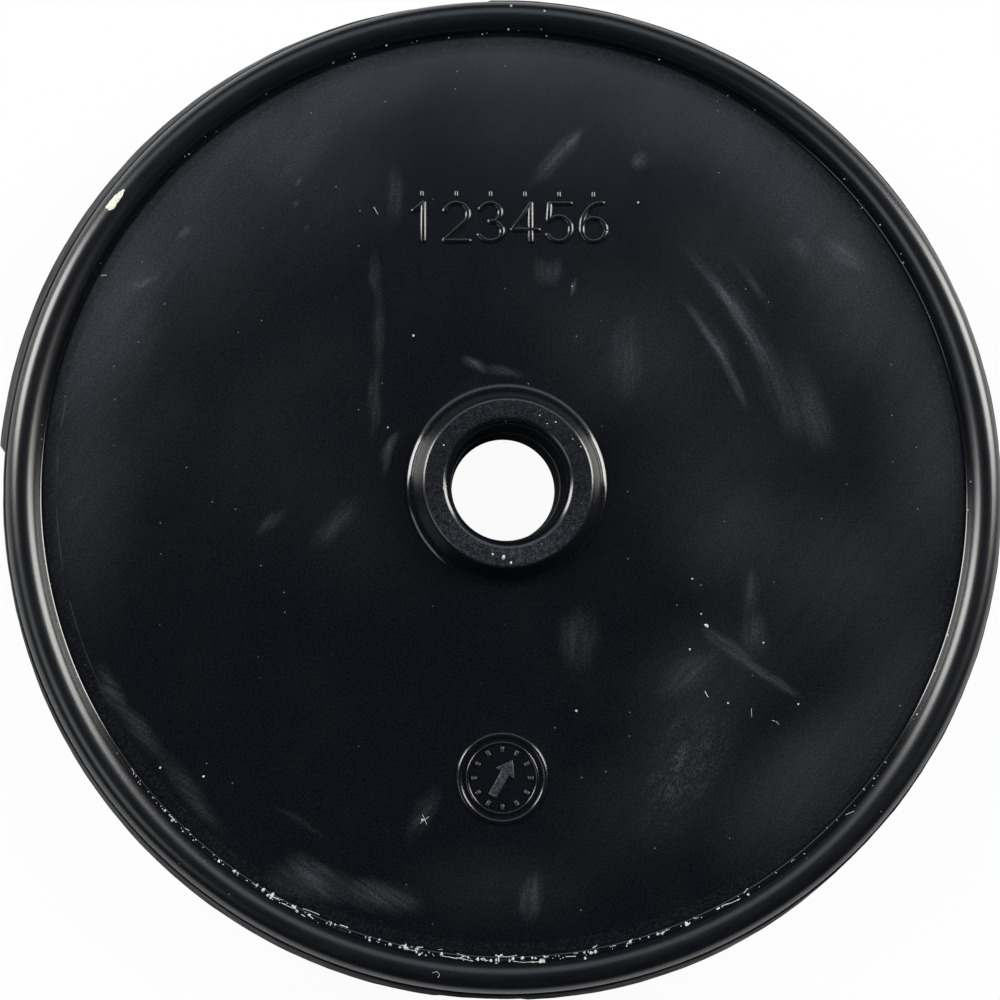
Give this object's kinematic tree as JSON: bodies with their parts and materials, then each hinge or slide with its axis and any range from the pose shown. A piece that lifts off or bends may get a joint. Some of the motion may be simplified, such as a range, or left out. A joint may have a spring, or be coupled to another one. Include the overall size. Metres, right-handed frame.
{
  "type": "rubber diaphragm",
  "caption": "Moulded black rubber pump diaphragm: flat round web with a rounded edge bead on both faces and a raised centre hub bored for a clamping bolt.",
  "frame": {"origin": "on the bore's axis at the mould's parting line, half way between the two hub faces", "axes": "+Z along the bore towards the marked face, +Y to the top of the marks as they are read, +X to their right"},
  "size_m": [0.0952, 0.0953, 0.0092],
  "materials": {
    "rubber": "moulded nitrile rubber, near black, satin with a chalky bloom and handling scuffs"
  },
  "bodies": {
    "root": {"diaphragm": "rubber"}
  },
  "joints": []
}
